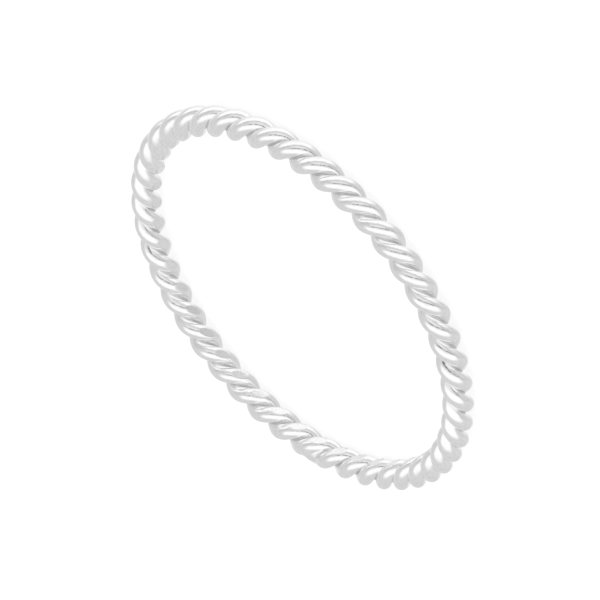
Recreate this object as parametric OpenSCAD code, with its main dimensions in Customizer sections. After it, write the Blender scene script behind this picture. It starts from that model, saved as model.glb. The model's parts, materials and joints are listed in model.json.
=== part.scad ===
// Rope twist ring: two silver wires twisted together to the left, bent round and soldered into one band.
// The band lies flat on z = 0, the finger hole runs along +Z through the origin. Lengths in millimetres.

/* [Band] */
// Diameter of the finger hole, between the flattened crests (mm)
finger_bore_d = 17.3; // [14:0.05:22]
// Radius of one wire (mm)
wire_r = 0.373; // [0.3:0.001:0.8]
// Depth by which each wire is pressed past the middle of the rope into the other (mm)
wire_press = 0.05; // [0.02:0.001:0.2]
// Depth by which the crests in the finger hole are flattened (mm)
crest_flat = 0.07; // [0.02:0.005:0.12]
// Size of the rounding in the groove between the wires (mm)
groove_fillet = 0.12; // [0.02:0.01:0.2]

/* [Lay] */
// Half turns of the pair in one round of the ring; odd, so each wire runs on into the other
half_turns = 45; // [31:2:61]
// Turn of the pair at ring angle 0 (deg)
lay_start = 13.7; // [0:0.1:180]
// Uneven lay: the most that the pair runs ahead once per round (deg)
swing_once = 32.4; // [0:0.1:60]
// Ring angle at which that swing starts (deg)
swing_once_at = 195.4; // [0:0.1:360]
// Uneven lay: the most that the pair runs ahead twice per round (deg)
swing_twice = 8; // [0:0.1:20]
// Ring angle at which that swing starts (deg)
swing_twice_at = 47.2; // [0:0.1:180]
// Uneven lay: the most that the pair runs ahead three times per round (deg)
swing_thrice = 4; // [0:0.1:12]
// Ring angle at which that swing starts (deg)
swing_thrice_at = 60.2; // [0:0.1:120]
// Uneven lay: the most that the pair runs ahead four times per round (deg)
swing_four_times = 2.8; // [0:0.1:9]
// Ring angle at which that swing starts (deg)
swing_four_times_at = 30.7; // [0:0.1:90]
// Uneven lay: the most that the pair runs ahead five times per round (deg)
swing_five_times = 2.3; // [0:0.1:7]
// Ring angle at which that swing starts (deg)
swing_five_times_at = 8.8; // [0:0.1:72]

/* [Solder seam] */
// Ring angle of the solder seam (deg)
seam_angle = 127.5; // [0:0.1:360]
// Turn by which the two rope ends miss each other at the seam (deg)
seam_miss = 12.2; // [0:0.1:60]
// Length of rope over which that miss is made good (mm)
seam_run = 1.2; // [0.6:0.05:2.4]
// Half length of the solder along the rope (mm)
solder_half_length = 0.9; // [0.3:0.05:1.5]
// Side of the rope where most of the solder sits: 0 faces away from the finger, 90 up (deg)
solder_side = 45; // [0:5:90]
// Depth of the solder below the crests on that side (mm)
solder_dip = 0.03; // [0.02:0.005:0.2]
// Depth of the solder below the crests on the opposite side (mm)
solder_dip_behind = 0.36; // [0.2:0.01:0.4]
// Size of the rounding between solder and wires (mm)
solder_fillet = 0.12; // [0.02:0.01:0.2]

/* [Hidden] */

silver = [0.86, 0.86, 0.87];
bore_r = finger_bore_d / 2;
// distance of each wire's middle line from the rope's, and of the crests from it
wire_offset = wire_r - wire_press;
crest_r = wire_offset + wire_r;
// radius of the rope's middle line
middle_r = bore_r + crest_r - crest_flat;
// way along the rope for one radian of twist
run_per_radian = 2 * middle_r / half_turns;
// way past both faces of the band that the finger hole is cut
hole_overrun = 1;

// steps round the ring and points round the rope, a point in each groove
steps = 7 * half_turns;
points_round = 18;
// steps of twist, up to the widest, at which a wire is looked for when its reach is worked out (deg)
look_step = 3;
look_most = 72;

// ring angle from the seam, -180 to 180
function from_seam(a) = (a - seam_angle) - 360 * round((a - seam_angle) / 360);
// way along the rope from the seam
function way_from_seam(a) = from_seam(a) * PI / 180 * middle_r;
// smooth step from -1/2 to 1/2 over a way of about one
function soft_step(x) = let (e = exp(4 * x)) (e - 1) / (e + 1) / 2;

// turn of the pair at ring angle a; a growing turn makes a left-hand lay
function lay(a) = lay_start + half_turns * a / 2
    + swing_once * sin(a - swing_once_at)
    + swing_twice * sin(2 * (a - swing_twice_at))
    + swing_thrice * sin(3 * (a - swing_thrice_at))
    + swing_four_times * sin(4 * (a - swing_four_times_at))
    + swing_five_times * sin(5 * (a - swing_five_times_at))
    - seam_miss * (soft_step(way_from_seam(a) / seam_run) - from_seam(a) / 360);

// reach of a ray at turn f to a ball of wire that sits at turn t, further along the rope
function ball_reach(f, t) =
    let (run = t * PI / 180 * run_per_radian,
         side = wire_offset * sin(f - t),
         room = wire_r * wire_r - side * side - run * run)
    room < 0 ? 0 : wire_offset * cos(f - t) + sqrt(room);
// reach to the whole wire
function wire_reach(f) = max([for (t = [-look_most : look_step : look_most]) ball_reach(f, t)]);

// larger of two reaches, rounded over a difference of k
function blend(a, b, k) = let (h = max(k - abs(a - b), 0) / k) max(a, b) + h * h * k / 4;

// turn of each point round the rope, and the reach of the pair there
turns = [for (j = [0 : points_round - 1]) 90 + 360 * j / points_round];
pair_reach = [for (f = turns) blend(wire_reach(f), wire_reach(f + 180), groove_fillet)];

// reach of the solder at ring angle a, in the direction out
function solder_reach(a, out) =
    let (along = way_from_seam(a) / solder_half_length,
         facing = (1 + cos(out - solder_side)) / 2,
         dip = solder_dip_behind + (solder_dip - solder_dip_behind) * facing * facing)
    abs(along) > 1 ? 0 : (crest_r - dip) * sqrt(1 - along * along);

// point j round the rope at step i round the ring
function skin_point(i, j) =
    let (a = 360 * i / steps,
         out = lay(a) + turns[j],
         reach = blend(pair_reach[j], solder_reach(a, out), solder_fillet),
         r = middle_r + reach * cos(out))
    [r * cos(a), r * sin(a), reach * sin(out)];
skin_points = [for (i = [0 : steps - 1], j = [0 : points_round - 1]) skin_point(i, j)];

// after a round of odd half turns the last step meets the first half way round the rope
closing_shift = half_turns % 2 * points_round / 2;
function at(i, j) = (i % steps) * points_round + (j + floor(i / steps) * closing_shift) % points_round;
skin_faces = [for (i = [0 : steps - 1], j = [0 : points_round - 1], half = [0, 1])
    half == 0 ? [at(i, j), at(i, j + 1), at(i + 1, j)] : [at(i, j + 1), at(i + 1, j + 1), at(i + 1, j)]];

// height of the rope's middle line, with the lowest crest on the surface
rest_height = -min([for (p = skin_points) p[2]]);

module twisted_pair() {
    translate([0, 0, rest_height])
        polyhedron(points = skin_points, faces = skin_faces, convexity = 12);
}

module finger_hole() {
    translate([0, 0, -hole_overrun])
        cylinder(h = 2 * (rest_height + hole_overrun), r = bore_r, $fn = 180);
}

module rope_band() {
    color(silver)
        difference() {
            twisted_pair();
            finger_hole();
        }
}

rope_band();
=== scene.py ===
"""Looks of the rope twist ring: polished silver, pale floor, soft studio light, the photo's viewing angle."""

import json
import math
from collections import namedtuple

import bpy
import numpy as np
from mathutils import Matrix, Vector


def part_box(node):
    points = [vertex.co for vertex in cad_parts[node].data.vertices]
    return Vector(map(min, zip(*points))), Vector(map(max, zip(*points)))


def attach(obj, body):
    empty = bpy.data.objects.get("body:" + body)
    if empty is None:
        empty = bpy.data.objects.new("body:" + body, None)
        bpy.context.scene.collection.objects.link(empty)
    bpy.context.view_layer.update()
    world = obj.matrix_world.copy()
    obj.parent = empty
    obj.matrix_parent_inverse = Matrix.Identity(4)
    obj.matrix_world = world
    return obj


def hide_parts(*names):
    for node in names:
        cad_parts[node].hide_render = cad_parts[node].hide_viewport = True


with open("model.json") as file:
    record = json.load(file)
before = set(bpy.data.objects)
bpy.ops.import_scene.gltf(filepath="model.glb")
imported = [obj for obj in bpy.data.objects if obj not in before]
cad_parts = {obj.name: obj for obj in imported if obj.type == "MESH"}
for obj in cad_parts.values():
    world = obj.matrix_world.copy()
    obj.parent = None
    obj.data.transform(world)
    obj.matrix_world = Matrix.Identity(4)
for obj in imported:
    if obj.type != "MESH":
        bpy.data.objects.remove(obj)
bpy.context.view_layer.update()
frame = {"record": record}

MM = 0.001
DEG = math.pi / 180

# Sizes of the rope, from the frame where it holds them and otherwise as in the part's source
bore = frame["record"]["mounts"][0]
BORE_R = bore["dims"]["r_mm"] * MM
LOW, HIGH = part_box("rope_band")
REST_HEIGHT = (HIGH.z - LOW.z) / 2
WIRE_R = 0.373 * MM
WIRE_PRESS = 0.05 * MM
CREST_FLAT = 0.07 * MM
GROOVE_FILLET = 0.12 * MM
# Distance of each wire's middle line from the rope's, and of the crests from it
WIRE_OFFSET = WIRE_R - WIRE_PRESS
CREST_R = WIRE_OFFSET + WIRE_R
# Radius of the rope's middle line
MIDDLE_R = BORE_R + CREST_R - CREST_FLAT

# Lay of the pair, as in the part's source
HALF_TURNS = 45
LAY_START = 13.7 * DEG
# Uneven lay: the most that the pair runs ahead so many times per round, and the ring angle where that starts
SWING_ONCE, SWING_ONCE_AT = 32.4 * DEG, 195.4 * DEG
SWING_TWICE, SWING_TWICE_AT = 8 * DEG, 47.2 * DEG
SWING_THRICE, SWING_THRICE_AT = 4 * DEG, 60.2 * DEG
SWING_FOUR_TIMES, SWING_FOUR_TIMES_AT = 2.8 * DEG, 30.7 * DEG
SWING_FIVE_TIMES, SWING_FIVE_TIMES_AT = 2.3 * DEG, 8.8 * DEG
# Way along the rope for one radian of twist
RUN_PER_RADIAN = 2 * MIDDLE_R / HALF_TURNS

# Solder seam, as in the part's source
SEAM_ANGLE = 127.5 * DEG
SEAM_MISS = 12.2 * DEG
SEAM_RUN = 1.2 * MM
SOLDER_HALF_LENGTH = 0.9 * MM
SOLDER_SIDE = 45 * DEG
SOLDER_DIP = 0.03 * MM
SOLDER_DIP_BEHIND = 0.36 * MM
SOLDER_FILLET = 0.12 * MM

# Fineness of the skin: steps round the ring and points round the rope
STEPS_PER_HALF_TURN = 34
STEPS = STEPS_PER_HALF_TURN * HALF_TURNS
POINTS_ROUND = 64
# Steps of twist, up to the widest, at which a wire is looked for when its reach is worked out (deg)
LOOK_STEP, LOOK_MOST = 1.5, 72

# Where the painted shade and the dull finish in a groove start, as a share of the way from the crest down to
# its bottom
GROOVE_START = 0.8
# Outer and inner end of a flat's edge, as shares of the depth by which the crests are flattened
FLAT_EDGE_START, FLAT_EDGE_END = -0.2, 0.4

# Brightness of the silver: least and most clean, in marks on the flats and the solder, along the flats' edges
# and in the grooves, where it is painted shade
CLEAN_GREYS = (0.915, 0.95)
MARK_GREY = 0.87
EDGE_GREY = 0.86
GROOVE_SHADE_GREY = 0.55
# Roughness of the silver: least and most where it is polished and on the flats, and that of the solder
# and the grooves
POLISHED_ROUGH = (0.025, 0.055)
FLAT_ROUGH = (0.12, 0.22)
SOLDER_ROUGH = 0.26
GROOVE_ROUGH = 0.28
# Least and most strength of the painted shade in the grooves, the marks and the flats' edges, and the
# strength of the solder's dullness
GROOVE_SHADE_STRENGTH = (0.7, 1)
MARK_STRENGTH = (0, 1)
EDGE_STRENGTH = (0.2, 1)
SOLDER_DULLNESS = 0.5
# Size of the spots of each kind, and the depth of those that are felt
MOTTLE_SIZE = 0.5 * MM
WAVE_SIZE, WAVE_DEPTH = 0.9 * MM, 0.010 * MM
PIT_SIZE, PIT_DEPTH = 0.12 * MM, 0.008 * MM
# Streaks that drawing left on the wire, to a mm along and across the rope, and their depth
STREAKS_ALONG, STREAKS_ACROSS = 1.2, 8
STREAK_DEPTH = 0.0045 * MM
# Range of a noise's values over which each look goes from least to most
NOISE_RANGE = (0.3, 0.7)
CLEAN_RANGE = (0.35, 0.65)
MARK_RANGE = (0.45, 0.65)
EDGE_RANGE = (0.35, 0.6)
POLISHED_RANGE = (0.35, 0.7)

# Camera: the photo's angle to the ring, the lens and the picture's width behind it in mm, and the near and
# the far end of its sight in m
CAMERA_ELEVATION = 29.1 * DEG
CAMERA_ROLL = 129.13 * DEG
CAMERA_DISTANCE = 250.2 * MM
LENS = 343.1
SENSOR_WIDTH = 36
SIGHT_START, SIGHT_END = 0.01, 10
# Shift of the picture's middle from the ring's, to the picture's right and up
AIM_SIDE, AIM_UP = 0.0173 * MM, 0.001 * MM

# Surroundings of the ring, as angles in degrees seen from it: over goes from the photo's viewpoint up over
# the top and on to the back, aside to the picture's right. Each soft value is half the width of the edges
# before it, and light is the panel's brightness. A later panel stands in front of the ones before it.
Panel = namedtuple("Panel", "over over_soft aside aside_soft light")
# Greys of the tent: its side walls, the cloth in front and behind, the far and the near window, the gap
# above the table, and the room round them
WALL, CLOTH, FAR_WINDOW, WINDOW, GAP = 0.62, 0.85, 0.95, 1.08, 0.1
ROOM_GREY = 0.70
SHARP, CRISP, WIDE = 2, 5, 15
PANELS = [
    Panel((20, 75), CRISP, (-100, -30), CRISP, WALL),  # left wall
    Panel((-10, 45), CRISP, (35, 90), CRISP, WALL),  # right wall
    Panel((15, 35), SHARP, (-30, 30), WIDE, CLOTH),  # cloth in front
    Panel((130, 200), WIDE, (-40, 30), WIDE, CLOTH),  # cloth behind
    Panel((60, 110), CRISP, (-60, 50), WIDE, WINDOW),  # window above
    Panel((110, 160), CRISP, (-20, 35), WIDE, FAR_WINDOW),  # window above, farther back
    Panel((-65, -10), WIDE, (-60, 60), WIDE, WINDOW),  # card in front, below
    Panel((3, 8), SHARP, (-30, 60), CRISP, GAP),  # gap above the table
]
# Where the over angle starts again from the other end, away from all panels
OVER_END = 250
# Unevenness of the tent's light: patches to the unit of direction, and the most that one adds or takes away
CLOUD_SCALE = 2.5
CLOUD_LIGHT = 0.045

# Floor: half its width and the size and height of the lamp above it in m, the lamp's power in W
FLOOR_HALF = 1.0
FLOOR_GREY = 0.25
FLOOR_GLOW = 0.82
FLOOR_LIGHT_HEIGHT = 0.8
FLOOR_LIGHT_SIZE = 1.2
FLOOR_LIGHT_POWER = 3.2


def photo_axes():
    """The photo's right, its up, and the way to its viewpoint; they stay when the camera moves."""
    e, roll = CAMERA_ELEVATION, CAMERA_ROLL
    level = Vector((1, 0, 0))
    rising = Vector((0, math.sin(e), math.cos(e)))
    toward = Vector((0, -math.cos(e), math.sin(e)))
    side = math.cos(roll) * level - math.sin(roll) * rising
    up = math.sin(roll) * level + math.cos(roll) * rising
    return side, up, toward


def make_camera():
    side, up, toward = photo_axes()
    data = bpy.data.cameras.new("camera")
    data.sensor_width = SENSOR_WIDTH
    data.lens = LENS
    data.clip_start = SIGHT_START
    data.clip_end = SIGHT_END
    cam = bpy.data.objects.new("camera", data)
    bpy.context.scene.collection.objects.link(cam)
    place = Vector((0, 0, REST_HEIGHT)) + side * AIM_SIDE + up * AIM_UP + toward * CAMERA_DISTANCE
    cam.matrix_world = Matrix((
        (side.x, up.x, toward.x, place.x),
        (side.y, up.y, toward.y, place.y),
        (side.z, up.z, toward.z, place.z),
        (0, 0, 0, 1),
    ))
    bpy.context.scene.camera = cam


def from_seam(a):
    """Ring angle from the seam, -pi to pi."""
    return (a - SEAM_ANGLE + math.pi) % (2 * math.pi) - math.pi


def lay(a):
    """Turn of the wire pair at ring angle a."""
    d = from_seam(a)
    way = d * MIDDLE_R
    miss = 0.5 * np.tanh(2 * way / SEAM_RUN) - d / (2 * math.pi)
    swing = (
        SWING_ONCE * np.sin(a - SWING_ONCE_AT)
        + SWING_TWICE * np.sin(2 * (a - SWING_TWICE_AT))
        + SWING_THRICE * np.sin(3 * (a - SWING_THRICE_AT))
        + SWING_FOUR_TIMES * np.sin(4 * (a - SWING_FOUR_TIMES_AT))
        + SWING_FIVE_TIMES * np.sin(5 * (a - SWING_FIVE_TIMES_AT))
    )
    return LAY_START + HALF_TURNS * a / 2 + swing - SEAM_MISS * miss


def wire_reach(f):
    """Reach of rays at turn f from the rope's middle to one wire."""
    t = np.radians(np.arange(-LOOK_MOST, LOOK_MOST + LOOK_STEP / 2, LOOK_STEP))
    d = f[..., None] - t
    room = WIRE_R**2 - (WIRE_OFFSET * np.sin(d)) ** 2 - (t * RUN_PER_RADIAN) ** 2
    ball = np.where(room < 0, 0, WIRE_OFFSET * np.cos(d) + np.sqrt(np.maximum(room, 0)))
    return ball.max(-1)


def blend(a, b, k):
    """The larger of two reaches, rounded over a difference of k."""
    h = np.maximum(k - np.abs(a - b), 0) / k
    return np.maximum(a, b) + h * h * k / 4


def share_of_way(value, start, end):
    """How far value is on its way from start to end, 0 to 1."""
    return np.clip((value - start) / (end - start), 0, 1)


def band_mesh():
    """The ring's whole skin as one fine mesh, with its groove, flat and solder shares and a map in mm."""
    a = 2 * math.pi * np.arange(STEPS) / STEPS
    turns = math.pi / 2 + 2 * math.pi * np.arange(POINTS_ROUND) / POINTS_ROUND
    pair = blend(wire_reach(turns), wire_reach(turns + math.pi), GROOVE_FILLET)
    out = lay(a)[:, None] + turns[None, :]
    pair = np.broadcast_to(pair, out.shape)

    facing = (1 + np.cos(out - SOLDER_SIDE)) / 2
    dip = SOLDER_DIP_BEHIND + (SOLDER_DIP - SOLDER_DIP_BEHIND) * facing**2
    along = (from_seam(a) * MIDDLE_R)[:, None] / SOLDER_HALF_LENGTH
    solder = (CREST_R - dip) * np.sqrt(np.maximum(1 - along**2, 0))
    reach = blend(pair, solder, SOLDER_FILLET)
    # a hair slimmer than worked out, so that the fine skin stays within the faceted solid's height
    skin_reach = reach * REST_HEIGHT / CREST_R

    free_r = MIDDLE_R + skin_reach * np.cos(out)
    r = np.maximum(free_r, BORE_R)
    places = np.stack([
        r * np.cos(a)[:, None],
        r * np.sin(a)[:, None],
        REST_HEIGHT + skin_reach * np.sin(out),
    ], -1).reshape(-1, 3)

    # after a round of odd half turns the last step meets the first half way round the rope
    def at(i, j):
        shift = (i // STEPS) * (POINTS_ROUND // 2)
        return (i % STEPS) * POINTS_ROUND + (j + shift) % POINTS_ROUND

    i = np.arange(STEPS)[:, None]
    j = np.arange(POINTS_ROUND)[None, :]
    corners = [(0, 0), (1, 0), (1, 1), (0, 1)]
    quads = np.stack([at(i + di, j + dj) for di, dj in corners], -1).reshape(-1, 4)
    mesh = bpy.data.meshes.new("rope_band_skin")
    mesh.from_pydata(places.tolist(), [], quads.tolist())
    mesh.polygons.foreach_set("use_smooth", np.ones(len(quads), bool))

    bottom = pair.min()
    shares = {
        "groove": share_of_way(reach, CREST_R - GROOVE_START * (CREST_R - bottom), bottom),
        "flat": share_of_way(BORE_R - free_r, FLAT_EDGE_START * CREST_FLAT, FLAT_EDGE_END * CREST_FLAT),
        "solder": share_of_way(solder - pair, -SOLDER_FILLET / 2, SOLDER_FILLET / 2),
    }
    for name, values in shares.items():
        layer = mesh.attributes.new(name, "FLOAT", "POINT")
        layer.data.foreach_set("value", np.ascontiguousarray(values, np.float32).ravel())

    # the map runs along the rope in u and round it in v, in mm
    step_u = 2 * math.pi * MIDDLE_R / STEPS / MM
    step_v = 2 * math.pi * CREST_R / POINTS_ROUND / MM
    u = np.stack([np.broadcast_to((i + di) * step_u, out.shape) for di, _ in corners], -1)
    v = np.stack([np.broadcast_to((j + dj) * step_v, out.shape) for _, dj in corners], -1)
    layer = mesh.uv_layers.new(name="strand")
    layer.data.foreach_set("uv", np.stack([u, v], -1).astype(np.float32).ravel())
    mesh.update()
    return mesh


class Paint:
    """Short names for the nodes of one node tree."""

    def __init__(self, tree):
        self.tree = tree

    def node(self, kind, **settings):
        n = self.tree.nodes.new(kind)
        for name, value in settings.items():
            setattr(n, name, value)
        return n

    def put(self, socket, value):
        if isinstance(value, bpy.types.NodeSocket):
            self.tree.links.new(value, socket)
        else:
            socket.default_value = value

    def math(self, operation, *values):
        n = self.node("ShaderNodeMath", operation=operation)
        for socket, value in zip(n.inputs, values):
            self.put(socket, value)
        return n.outputs[0]

    def times(self, a, b):
        return self.math("MULTIPLY", a, b)

    def dot(self, a, b):
        n = self.node("ShaderNodeVectorMath", operation="DOT_PRODUCT")
        self.put(n.inputs[0], a)
        self.put(n.inputs[1], b)
        return n.outputs["Value"]

    def scaled(self, vector, by):
        n = self.node("ShaderNodeVectorMath", operation="MULTIPLY")
        self.put(n.inputs[0], vector)
        n.inputs[1].default_value = by
        return n.outputs[0]

    def spread(self, value, ends, results, kind="LINEAR"):
        """value's way from one end to the other, as a way from the first result to the second."""
        n = self.node("ShaderNodeMapRange", interpolation_type=kind)
        self.put(n.inputs["Value"], value)
        n.inputs["From Min"].default_value, n.inputs["From Max"].default_value = ends
        n.inputs["To Min"].default_value, n.inputs["To Max"].default_value = results
        return n.outputs[0]

    def within(self, value, ends, soft):
        """1 between the two ends, 0 outside, with a soft edge at each."""
        low, high = ends
        rise = self.spread(value, (low - soft, low + soft), (0, 1), "SMOOTHSTEP")
        fall = self.spread(value, (high - soft, high + soft), (1, 0), "SMOOTHSTEP")
        return self.times(rise, fall)

    def attribute(self, name):
        return self.node("ShaderNodeAttribute", attribute_name=name).outputs["Fac"]

    def noise(self, vector, scale, detail):
        n = self.node("ShaderNodeTexNoise")
        self.put(n.inputs["Vector"], vector)
        n.inputs["Scale"].default_value = scale
        n.inputs["Detail"].default_value = detail
        return n.outputs["Fac"]

    def grey(self, value):
        n = self.node("ShaderNodeCombineColor")
        for socket in n.inputs:
            self.put(socket, value)
        return n.outputs[0]

    def bump(self, height, depth, normal=None):
        """The normal with this height in it, as deep as depth between 0 and 1."""
        n = self.node("ShaderNodeBump")
        self.put(n.inputs["Height"], height)
        n.inputs["Distance"].default_value = depth
        if normal is not None:
            self.put(n.inputs["Normal"], normal)
        return n.outputs[0]

    def mix(self, base, share, value):
        """base, with value in its place where share is 1."""
        n = self.node("ShaderNodeMix", data_type="FLOAT")
        self.put(n.inputs[0], share)
        self.put(n.inputs[2], base)
        self.put(n.inputs[3], value)
        return n.outputs[0]


def silver():
    """Polished silver with faint waves and streaks, painted shade and a dull finish in the grooves, dull in
    the solder, brushed on the flats.
    """
    material = bpy.data.materials.new("silver")
    material.use_nodes = True
    shader = material.node_tree.nodes["Principled BSDF"]
    paint = Paint(material.node_tree)
    shader.inputs["Metallic"].default_value = 1

    body = paint.node("ShaderNodeTexCoord").outputs["Object"]
    strand = paint.node("ShaderNodeUVMap", uv_map="strand").outputs["UV"]
    groove = paint.attribute("groove")
    flat = paint.attribute("flat")
    solder = paint.attribute("solder")

    mottle = paint.noise(body, 1 / MOTTLE_SIZE, detail=3)
    waves = paint.noise(body, 1 / WAVE_SIZE, detail=1)
    streaks = paint.noise(paint.scaled(strand, (STREAKS_ALONG, STREAKS_ACROSS, 1)), 1, detail=3)
    pits = paint.noise(body, 1 / PIT_SIZE, detail=2)

    # painted shade in the grooves, broken up by the mottle; a flat's edge is where its share is half way
    shaded_groove = paint.times(groove, paint.spread(mottle, NOISE_RANGE, GROOVE_SHADE_STRENGTH))
    worked = paint.math("MAXIMUM", flat, solder)
    edge = paint.math("PINGPONG", paint.times(flat, 2), 1)
    marks = paint.times(worked, paint.spread(pits, MARK_RANGE, MARK_STRENGTH))
    rims = paint.times(edge, paint.spread(pits, EDGE_RANGE, EDGE_STRENGTH))

    bright = paint.spread(pits, CLEAN_RANGE, CLEAN_GREYS)
    bright = paint.mix(bright, marks, MARK_GREY)
    bright = paint.mix(bright, rims, EDGE_GREY)
    # painted shade: the grooves between the wires are darkened where shade falls in them
    bright = paint.mix(bright, shaded_groove, GROOVE_SHADE_GREY)
    paint.put(shader.inputs["Base Color"], paint.grey(bright))

    rough = paint.spread(mottle, POLISHED_RANGE, POLISHED_ROUGH)
    rough = paint.mix(rough, shaded_groove, GROOVE_ROUGH)
    rough = paint.mix(rough, flat, paint.spread(streaks, NOISE_RANGE, FLAT_ROUGH))
    rough = paint.mix(rough, paint.times(solder, SOLDER_DULLNESS), SOLDER_ROUGH)
    paint.put(shader.inputs["Roughness"], rough)

    relief = paint.bump(waves, WAVE_DEPTH)
    relief = paint.bump(streaks, STREAK_DEPTH, relief)
    relief = paint.bump(paint.times(pits, paint.math("MAXIMUM", worked, shaded_groove)), PIT_DEPTH, relief)
    paint.put(shader.inputs["Normal"], relief)
    return material


def make_band():
    mesh = band_mesh()
    mesh.materials.append(silver())
    band = bpy.data.objects.new("twisted_band", mesh)
    bpy.context.scene.collection.objects.link(band)
    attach(band, "root")
    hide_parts("rope_band")


def make_floor():
    """White paper that glows as on a light table, so that the ring's shadow stays faint."""
    h = FLOOR_HALF
    mesh = bpy.data.meshes.new("floor")
    mesh.from_pydata([(-h, -h, 0), (h, -h, 0), (h, h, 0), (-h, h, 0)], [], [(0, 1, 2, 3)])
    material = bpy.data.materials.new("floor_paper")
    material.use_nodes = True
    shader = material.node_tree.nodes["Principled BSDF"]
    shader.inputs["Base Color"].default_value = (FLOOR_GREY, FLOOR_GREY, FLOOR_GREY, 1)
    shader.inputs["Roughness"].default_value = 1
    shader.inputs["Specular IOR Level"].default_value = 0
    shader.inputs["Emission Color"].default_value = (1, 1, 1, 1)
    shader.inputs["Emission Strength"].default_value = FLOOR_GLOW
    mesh.materials.append(material)
    floor = bpy.data.objects.new("floor", mesh)
    floor.visible_glossy = False
    bpy.context.scene.collection.objects.link(floor)

    data = bpy.data.lights.new("floor_light", "AREA")
    data.shape = "DISK"
    data.size = FLOOR_LIGHT_SIZE
    data.energy = FLOOR_LIGHT_POWER
    lamp = bpy.data.objects.new("floor_light", data)
    lamp.location = (0, 0, FLOOR_LIGHT_HEIGHT)
    lamp.visible_glossy = False
    lamp.visible_camera = False
    bpy.context.scene.collection.objects.link(lamp)


def make_studio():
    """The soft light round the ring: a grey room with bright panels, plain white to the camera."""
    side, up, toward = photo_axes()
    world = bpy.data.worlds.new("studio")
    world.use_nodes = True
    tree = world.node_tree
    tree.nodes.clear()
    paint = Paint(tree)
    direction = paint.node("ShaderNodeTexCoord").outputs["Generated"]
    turn = paint.math("ARCTAN2", paint.dot(direction, up), paint.dot(direction, toward))
    # counted up to OVER_END instead of to the half turn, where it would break the panels behind the top
    over = paint.math("WRAP", paint.times(turn, 1 / DEG), OVER_END, OVER_END - 360)
    aside = paint.times(paint.math("ARCSINE", paint.dot(direction, side)), 1 / DEG)
    light = ROOM_GREY
    for panel in PANELS:
        cover = paint.times(
            paint.within(over, panel.over, panel.over_soft),
            paint.within(aside, panel.aside, panel.aside_soft),
        )
        light = paint.mix(light, cover, panel.light)
    clouds = paint.noise(direction, CLOUD_SCALE, detail=3)
    light = paint.math("ADD", light, paint.spread(clouds, NOISE_RANGE, (-CLOUD_LIGHT, CLOUD_LIGHT)))
    light = paint.mix(light, paint.node("ShaderNodeLightPath").outputs["Is Camera Ray"], 1)
    background = paint.node("ShaderNodeBackground")
    background.inputs["Color"].default_value = (1, 1, 1, 1)
    paint.put(background.inputs["Strength"], light)
    output = paint.node("ShaderNodeOutputWorld")
    paint.put(output.inputs[0], background.outputs[0])
    bpy.context.scene.world = world


make_band()
make_floor()
make_studio()
make_camera()
bpy.context.scene.view_settings.view_transform = "Standard"
